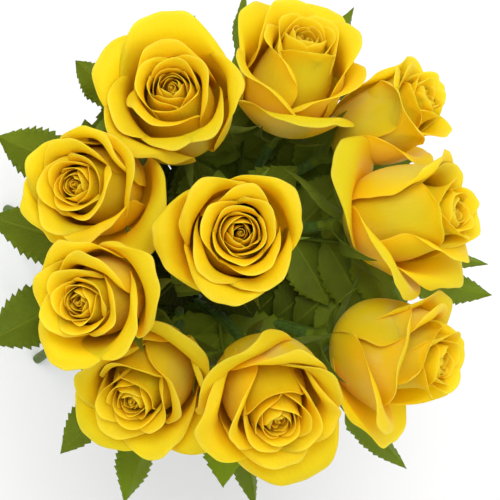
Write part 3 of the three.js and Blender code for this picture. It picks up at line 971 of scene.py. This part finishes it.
# The hip's outline from the stem up: its radius and its height over the stem's end, in millimetres.
HIP = [[2.7, -6], [2.9, -1.5], [4.4, 1.5], [5.7, 4.8], [5.5, 7.8], [4.6, 10.2], [1.5, 11.2]]

# Each rose's sepals: the heading in the bunch of the first, how broad and long that one is, and then
# how far each is bent back, in degrees.
SEPALS = {
    1: (215, 1.5, 1.35, (8, 20, 70, 40, 25)),
    2: (206, 1.8, 1.3, (10, 16, 60, 95, 120)),
    3: (196, 1.7, 1.15, (9, 16, 90, 40, 60)),
    4: (236, 1.1, 1.2, (10, 14, 60, 90, 20)),
    5: (60, 1.0, 1.1, (18, 22, 10, 60, 30)),
    6: (262, 1.1, 1.1, (16, 110, 60, 25, 60)),
    7: (300, 1.1, 1.1, (10, 26, 60, 30, 14)),
    8: (88, 1.3, 1.3, (6, 16, 60, 30, 18)),
    9: (172, 1.1, 1.4, (6, 22, 70, 40, 12)),
    10: (188, 1.1, 1.2, (9, 26, 60, 60, 20)),
}


def calyx_body(number, sizes):
    place = BLOOMS[number]
    rng = np.random.default_rng(300 + number)
    body = Body()
    hip = smooth_line(np.array(HIP) * MM, 26)[:, None, :]
    rings = hip[..., :1] * circle(20) + hip[..., 1:] * [0, 0, 1]
    body.rings(place.to_world(rings), tone=0.35)
    first, broad, long, openings = SEPALS[number]
    for k, opening in enumerate(openings):
        azimuth = place.azimuth_of(first) + math.radians(72 * k) + rng.uniform(-0.1, 0.1)
        length = sizes.sepal_length * rng.uniform(0.85, 1.12)
        width = sizes.sepal_width * rng.uniform(0.75, 1.1)
        if k == 0:
            length, width = sizes.sepal_length * long, sizes.sepal_width * broad
        grid = sepal_grid(place, azimuth, length, width, opening, rng.uniform(-0.18, 0.18), rng)
        thickness = np.linspace(0.9, 0.3, grid.shape[0])[:, None] * MM
        body.shell(place.to_world(grid), thickness, rng.uniform(0, 0.4))
        # Two pairs of thin side lobes on every second sepal.
        if k % 2 == 0:
            for row in (8, 12):
                for hand in (-1, 1):
                    start = grid[row, 3]
                    ahead = unit(grid[row + 1, 3] - grid[row - 1, 3])
                    across = unit(grid[row, 6] - grid[row, 0]) * hand
                    tip = start + (across * 0.8 + ahead * 0.7) * 6.5 * MM * rng.uniform(0.6, 1)
                    line = place.to_world(np.linspace(start, tip, 6))
                    body.tube(line, np.linspace(0.65, 0.12, 6) * MM, 6, 0.2, squash=0.5)
    return body


class BUNCH_OT_calyxes(bpy.types.Operator):
    """Adds each rose's hip with its five lobed sepals"""

    bl_idname = "rose_bunch.calyxes"
    bl_label = "Calyxes"

    def execute(self, context):
        sizes, colours = context.scene.rose_bunch_sizes, context.scene.rose_bunch_colours
        skin = [sepal_finish(colours)]
        for number in ROSES:
            name = BLOOMS[number].name
            piece = calyx_body(number, sizes).build(f"{name}_sepals", skin, levels=1)
            settle(piece, "sepal", f"{name}_calyx")
        return {"FINISHED"}


# ---------- stems ----------
# A stem's radius from its cut end up, as (shares of its length, radii).
STEM_RADII = ([0, 0.5, 0.9, 1], [3.0 * MM, 2.8 * MM, 2.45 * MM, 2.75 * MM])


def stem_body(number):
    rng = np.random.default_rng(500 + number)
    line = stem_line(number)
    line = smooth_line(np.vstack([line[:-1:3], line[-1:]]), 110)
    share = np.linspace(0, 1, len(line))
    body = Body()
    thick = np.interp(share, *STEM_RADII)
    # Slight swellings where leaves grow or grew.
    for spot in rng.uniform(0.08, 0.9, 6):
        thick = thick + 0.35 * MM * np.exp(-(((share - spot) / 0.012) ** 2))
    body.tube(line, thick, 16, side=(1, 0, 0))
    # The bark stops just above the cut, and the pith stands on the floor.
    body.points[0][:, 2] = np.maximum(body.points[0][:, 2], 0.3 * MM)
    disc = circle(20) * thick[0] * 0.85 + [line[0][0], line[0][1], 0]
    body.rings(np.stack([disc, disc + [0, 0, 1.0 * MM]]), slot=1)
    # Prickles that hook downwards, on the upper part of the stem.
    along, across, up = line_frames(line, (1, 0, 0))
    for spot in rng.uniform(0.5, 0.88, 7):
        k = int(spot * (len(line) - 1))
        turn = rng.uniform(0, FULL_TURN)
        out = across[k] * math.cos(turn) + up[k] * math.sin(turn)
        size = rng.uniform(3.2, 5.2) * MM
        root = line[k] + out * thick[k] * 0.75
        bend = root + (out * 0.9 - along[k] * 0.15) * size
        path = bezier(root, root + out * size * 0.5, bend, root + (out - along[k] * 0.55) * size, 8)
        girth = np.interp(np.linspace(0, 1, 8), [0, 0.25, 1], [1.6, 0.85, 0.05]) * MM
        tone = np.linspace(0.1, 1.0, 8)
        body.tube(path, girth, 8, tone, side=along[k], squash=0.55)
    return body


class BUNCH_OT_stems(bpy.types.Operator):
    """Adds the ten stems with their swellings and prickles"""

    bl_idname = "rose_bunch.stems"
    bl_label = "Stems"

    def execute(self, context):
        skin = [stem_finish(context.scene.rose_bunch_colours), pith_finish()]
        for number in ROSES:
            name = BLOOMS[number].name
            piece = stem_body(number).build(f"{name}_stalk", skin)
            settle(piece, "stem", f"{name}_stem")
        return {"FINISHED"}


# ---------- leaves ----------
# How young and bright each leaf is, whose lowest values also paint shade deep in the bunch, how far its
# blades fold up along the midrib, in degrees, and the size of its leaflets as a share of a full one.
LEAVES = {
    1: (0.30, 62, 1.0), 2: (0.25, 62, 0.95), 3: (0.35, 40, 0.85), 4: (0.50, 56, 1.0),
    5: (0.40, 52, 1.05), 6: (0.20, 28, 1.0), 7: (0.45, 56, 1.0), 8: (0.40, 52, 1.0),
    9: (0.95, 12, 1.15), 10: (0.50, 45, 1.05), 11: (0.20, 34, 1.05), 12: (0.12, 24, 1.35),
    13: (0.15, 22, 1.3), 14: (0.15, 28, 1.2), 15: (0.15, 42, 0.9), 16: (0.25, 44, 0.85),
    17: (0.45, 18, 1.3), 18: (0.12, 14, 1.45), 19: (0.0, 10, 1.5),
}
# Side leaflets in pairs, from the outermost in: how far out along the stalk each pair sits, the
# leaflets' size, and their share of the leaf's fold and of its brightness. Those further in are broad and
# painted dark as shade.
PAIRS = ((0.86, 0.62, 0.9), (0.6, 0.85, 0.4), (0.36, 0.95, 0.3), (0.12, 0.95, 0.2))


def leaflet_grid(start, end, width, rise, side, fold, rng, teeth=13, cols=11):
    """A toothed leaflet whose halves fold up and whose face is quilted between its veins."""
    rows = teeth * 5 + 1
    line = bow(start, end, rise, rows)
    s = np.linspace(0, 1, rows)
    along, across, up = line_frames(line, side)
    up = -up
    half = width / 2 * np.interp(s, *LEAFLET_OUTLINE)
    tooth = 1 - ((s * teeth) % 1)
    edge = 1 + 0.2 * (tooth - 0.5) * smoothstep(0.04, 0.15, s) * smoothstep(1.0, 0.8, s)
    u = np.linspace(-1, 1, cols)[None, :]
    margin = np.abs(u)
    reach = half[:, None] * np.where(margin > 0.99, edge[:, None], 1.0)
    sweep = s[:, None] * SIDE_VEINS - margin**VEIN_BEND * VEIN_SWEEP
    blade = smoothstep(0.0, 0.3, margin) * smoothstep(1.0, 0.7, margin)
    quilt = 0.35 * MM * np.abs(np.sin(sweep * math.pi)) * blade
    fold = math.radians(fold) * rng.uniform(0.85, 1.15) * smoothstep(0, 0.25, s[:, None])
    folded = margin * half[:, None] * np.sin(fold)
    wave = np.sin(s[:, None] * rng.uniform(9, 14) + rng.uniform(0, 6) + u * 1.2)
    ripple = 0.9 * MM * wave * margin**1.5
    lift = quilt + folded + ripple * smoothstep(0, 0.2, s[:, None])
    return (
        line[:, None]
        + across[:, None] * (u * reach * np.cos(fold))[..., None]
        + up[:, None] * lift[..., None]
        + along[:, None] * (margin**2 * half[:, None] * 0.18)[..., None]
    )


def leaf_body(number, sizes):
    name = f"leaf_{number:02d}"
    rng = np.random.default_rng(700 + number)
    youth_and_shade, fold, share_of_full = LEAVES[number]
    points = node_points(name)
    # The leaf starts at whichever stem comes nearest to it, and its tip is furthest from there.
    gaps = {
        rose: np.linalg.norm(points[:, None] - line[None], axis=2)
        for rose, line in STEM_LINES.items()
    }
    rose = min(gaps, key=lambda r: gaps[r].min())
    near = gaps[rose].min(1).argmin()
    start = STEM_LINES[rose][gaps[rose][near].argmin()]
    tip = points[np.linalg.norm(points - start, axis=1).argmax()]

    span = np.linalg.norm(tip - start)
    last_point = 79
    spine = bow(start, tip, span * 0.13, last_point + 1)
    length = min(sizes.leaflet_length * share_of_full * rng.uniform(0.95, 1.05), span * 0.8)
    width = sizes.leaflet_width * length / sizes.leaflet_length
    stalk_end = max(1 - length / span, 0.2)
    body = Body()
    last = int(stalk_end * last_point)
    # The stalk runs on a little under the end leaflet.
    stalk = spine[: last + 3]
    body.tube(stalk, np.linspace(1.15, 0.6, len(stalk)) * MM, 8, youth_and_shade * 0.5, slot=2)

    # A leaflet's columns run so that the shell's own face is the leaflet's underside.
    def add_leaflet(grid, tone):
        body.shell(grid, sizes.leaf_thickness, tone, face=1, back=0)

    side = unit(np.cross([0, 0, 1.0], tip - start))
    add_leaflet(leaflet_grid(spine[last], tip, width, length * 0.05, side, fold, rng), youth_and_shade)
    for share, part, opened in PAIRS:
        k = int(share * stalk_end * last_point)
        forward = unit(spine[k + 1] - spine[k])
        for hand in (-1, 1):
            ahead = unit(forward + side * hand * rng.uniform(1.0, 1.6))
            reach = length * part * rng.uniform(0.92, 1.05)
            end = spine[k] + ahead * reach + np.array([0, 0, -reach * rng.uniform(0.0, 0.25)])
            flank = unit(np.cross([0, 0, 1.0], ahead))
            breadth = width * (part + 0.1)
            grid = leaflet_grid(
                spine[k], end, breadth, reach * 0.08, flank, fold * opened, rng, teeth=11
            )
            add_leaflet(grid, youth_and_shade * opened * rng.uniform(0.7, 1.2))
    return body


class BUNCH_OT_leaves(bpy.types.Operator):
    """Adds the leaves, each with toothed, veined leaflets on its own stalk"""

    bl_idname = "rose_bunch.leaves"
    bl_label = "Leaves"

    def execute(self, context):
        sizes, colours = context.scene.rose_bunch_sizes, context.scene.rose_bunch_colours
        young = tuple(colours.young_leaf)
        finishes = [
            leaf_finish("leaf_upper", tuple(colours.leaf_top), young, 0.42),
            leaf_finish("leaf_underside", tuple(colours.leaf_under), young, 0.6),
            sepal_finish(colours),
        ]
        for number in LEAVES:
            piece = leaf_body(number, sizes).build(f"leaf_{number:02d}_leaflets", finishes)
            settle(piece, "leaf", f"leaf_{number:02d}")
        return {"FINISHED"}


# ---------- tie ----------
def tie_place():
    """The middle of the tie's ring, its radius and its height. The knot sticks out on one side."""
    low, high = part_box("tie")
    radius = (high.y - low.y) / 2
    middle = np.array([low.x + radius, (low.y + high.y) / 2, (low.z + high.z) / 2])
    return middle, radius, high.z - low.z


class BUNCH_OT_tie(bpy.types.Operator):
    """Adds the twine: two twisted plies wound round the stems and knotted"""

    bl_idname = "rose_bunch.tie"
    bl_label = "Twine tie"

    def execute(self, context):
        sizes, colours = context.scene.rose_bunch_sizes, context.scene.rose_bunch_colours
        middle, radius, height = tie_place()
        turns = sizes.twine_turns
        pitch = height / turns
        ply = pitch * 0.29
        twist = 5.2 * MM
        jute = [twine_finish(colours)]

        def twisted(line, name):
            body = Body()
            _, across, up = line_frames(line)
            for start in (0, math.pi):
                turn = (travelled(line) / twist * FULL_TURN + start)[:, None]
                strand = line + (across * np.cos(turn) + up * np.sin(turn)) * ply * 0.85
                body.tube(strand, ply * 1.05, 7)
            return body.build(name, jute)

        t = np.linspace(0, 1, 130 * turns)
        angle = t * turns * FULL_TURN
        wander = 0.15 * MM * np.sin(angle * 3.3) + 0.1 * MM * np.sin(angle * 1.7 + 1)
        reach = radius - pitch * 0.5 + wander
        z = middle[2] - height / 2 + pitch * 0.5 + t * (height - pitch)
        winding = np.stack(
            [middle[0] + reach * np.cos(angle), middle[1] + reach * np.sin(angle), z], 1
        )
        settle(twisted(winding, "twine_winding"), "twine", "tie")

        # Overhand knot with two short ends.
        knot_at = middle + np.array([radius + 0.4 * MM, 0, 0])
        t = np.linspace(0, FULL_TURN, 60)
        loop = np.stack([
            0.9 * np.cos(3 * t) + 0.2, (np.sin(t) + 2 * np.sin(2 * t)) * 0.95,
            (np.cos(t) - 2 * np.cos(2 * t)) * 0.95,
        ], 1) * 1.15 * MM
        settle(twisted(knot_at + loop, "twine_knot"), "twine", "tie")
        for name, lean, drop in (("twine_end_long", -1, 15), ("twine_end_short", 1, 9)):
            start = knot_at + np.array([1.0, lean * 1.2, -1.0]) * MM
            path = [start, start + np.array([2.4, lean * 2.2, -2.2]) * MM,
                    start + np.array([3.0, lean * 4.2, -drop * 0.6]) * MM,
                    start + np.array([2.2, lean * 5.2, -drop]) * MM]
            settle(twisted(smooth_line(path, 40), name), "twine", "tie")
        return {"FINISHED"}


# ---------- stage ----------
FLOOR_REACH = 6
SKY_STRENGTH = 0.72
# Each lamp: its place from the tie in metres, its width in metres and its power in watts.
LAMPS = {"key": ((-0.7, 1.2, 2.9), 1.9, 58), "fill": ((1.5, -1.2, 2.4), 2.0, 14)}
# The camera looks down on the bunch, tipped off the upright, at a point among the blooms.
CAMERA_TILT = math.radians(18)
CAMERA_DISTANCE = 1.0
CAMERA_LENS = 155
AIM_OFFSET = -18.5 * MM
AIM_HEIGHT = 382 * MM


class BUNCH_OT_stage(bpy.types.Operator):
    """Adds the floor, the soft light and the camera"""

    bl_idname = "rose_bunch.stage"
    bl_label = "Stage"

    def execute(self, context):
        scene, colours = context.scene, context.scene.rose_bunch_colours
        mesh = bpy.data.meshes.new("floor")
        corners = [(x * FLOOR_REACH, y * FLOOR_REACH, 0) for x, y in ((-1, -1), (1, -1), (1, 1), (-1, 1))]
        mesh.from_pydata(corners, [], [(0, 1, 2, 3)])
        floor = bpy.data.objects.new("floor", mesh)
        scene.collection.objects.link(floor)
        paper = Finish("pale_floor", Specular_IOR_Level=0.1)
        speck = paper.noise(paper.place(), 300.0)
        paper.colour(paper.mix(speck, tuple(colours.floor), tuple(c * 0.985 for c in colours.floor)))
        paper.rough(paper.ramp(speck, 0.3, 0.7, 0.8, 0.95))
        mesh.materials.append(paper.material)

        scene.world = bpy.data.worlds.new("soft_room")
        scene.world.use_nodes = True
        sky = scene.world.node_tree.nodes["Background"]
        sky.inputs["Color"].default_value = (1.0, 1.0, 1.0, 1)
        sky.inputs["Strength"].default_value = SKY_STRENGTH
        middle = tie_place()[0]
        # The lamps face a point a little over the tie.
        target = Vector((0, 0, 0.15))
        for name, (offset, size, power) in LAMPS.items():
            lamp = bpy.data.lights.new(name, "AREA")
            lamp.size, lamp.energy = size, power
            light = bpy.data.objects.new(name, lamp)
            light.location = Vector(middle) + Vector(offset)
            light.rotation_mode = "QUATERNION"
            light.rotation_quaternion = (target - Vector(offset)).to_track_quat("-Z", "Y")
            scene.collection.objects.link(light)

        back = Vector((-math.sin(CAMERA_TILT), 0, math.cos(CAMERA_TILT)))
        right = Vector((math.cos(CAMERA_TILT), 0, math.sin(CAMERA_TILT)))
        up = back.cross(right)
        aim = Vector((middle[0] + AIM_OFFSET, middle[1], AIM_HEIGHT))
        camera = bpy.data.objects.new("camera", bpy.data.cameras.new("camera"))
        camera.data.lens = CAMERA_LENS
        camera.matrix_world = Matrix((right, up, back)).transposed().to_4x4()
        camera.location = aim + back * CAMERA_DISTANCE
        scene.collection.objects.link(camera)
        scene.camera = camera
        scene.view_settings.view_transform = "Standard"
        return {"FINISHED"}


# ---------- panel and registration ----------
OPERATORS = (
    BUNCH_OT_blooms,
    BUNCH_OT_calyxes,
    BUNCH_OT_stems,
    BUNCH_OT_leaves,
    BUNCH_OT_tie,
    BUNCH_OT_stage,
)


class BUNCH_PT_panel(bpy.types.Panel):
    """Sizes, colours and the steps that build the bunch"""

    bl_idname = "BUNCH_PT_panel"
    bl_label = "Rose bunch"
    bl_space_type = "VIEW_3D"
    bl_region_type = "UI"
    bl_category = "Rose bunch"

    def draw(self, context):
        layout = self.layout
        for group in (context.scene.rose_bunch_sizes, context.scene.rose_bunch_colours):
            column = layout.column(align=True)
            for name in group.bl_rna.properties.keys():
                if name not in {"rna_type", "name"}:
                    column.prop(group, name)
        for operator in OPERATORS:
            layout.operator(operator.bl_idname)


CLASSES = (RoseBunchSizes, RoseBunchColours, *OPERATORS, BUNCH_PT_panel)


def register():
    for cls in CLASSES:
        bpy.utils.register_class(cls)
    bpy.types.Scene.rose_bunch_sizes = bpy.props.PointerProperty(type=RoseBunchSizes)
    bpy.types.Scene.rose_bunch_colours = bpy.props.PointerProperty(type=RoseBunchColours)


def unregister():
    del bpy.types.Scene.rose_bunch_colours
    del bpy.types.Scene.rose_bunch_sizes
    for cls in reversed(CLASSES):
        bpy.utils.unregister_class(cls)


STEM_LINES = {number: resample(stem_line(number), 160) for number in ROSES}


def main():
    register()
    bpy.ops.rose_bunch.stage()
    bpy.ops.rose_bunch.blooms()
    bpy.ops.rose_bunch.calyxes()
    bpy.ops.rose_bunch.stems()
    bpy.ops.rose_bunch.leaves()
    bpy.ops.rose_bunch.tie()


if __name__ == "__main__":
    main()
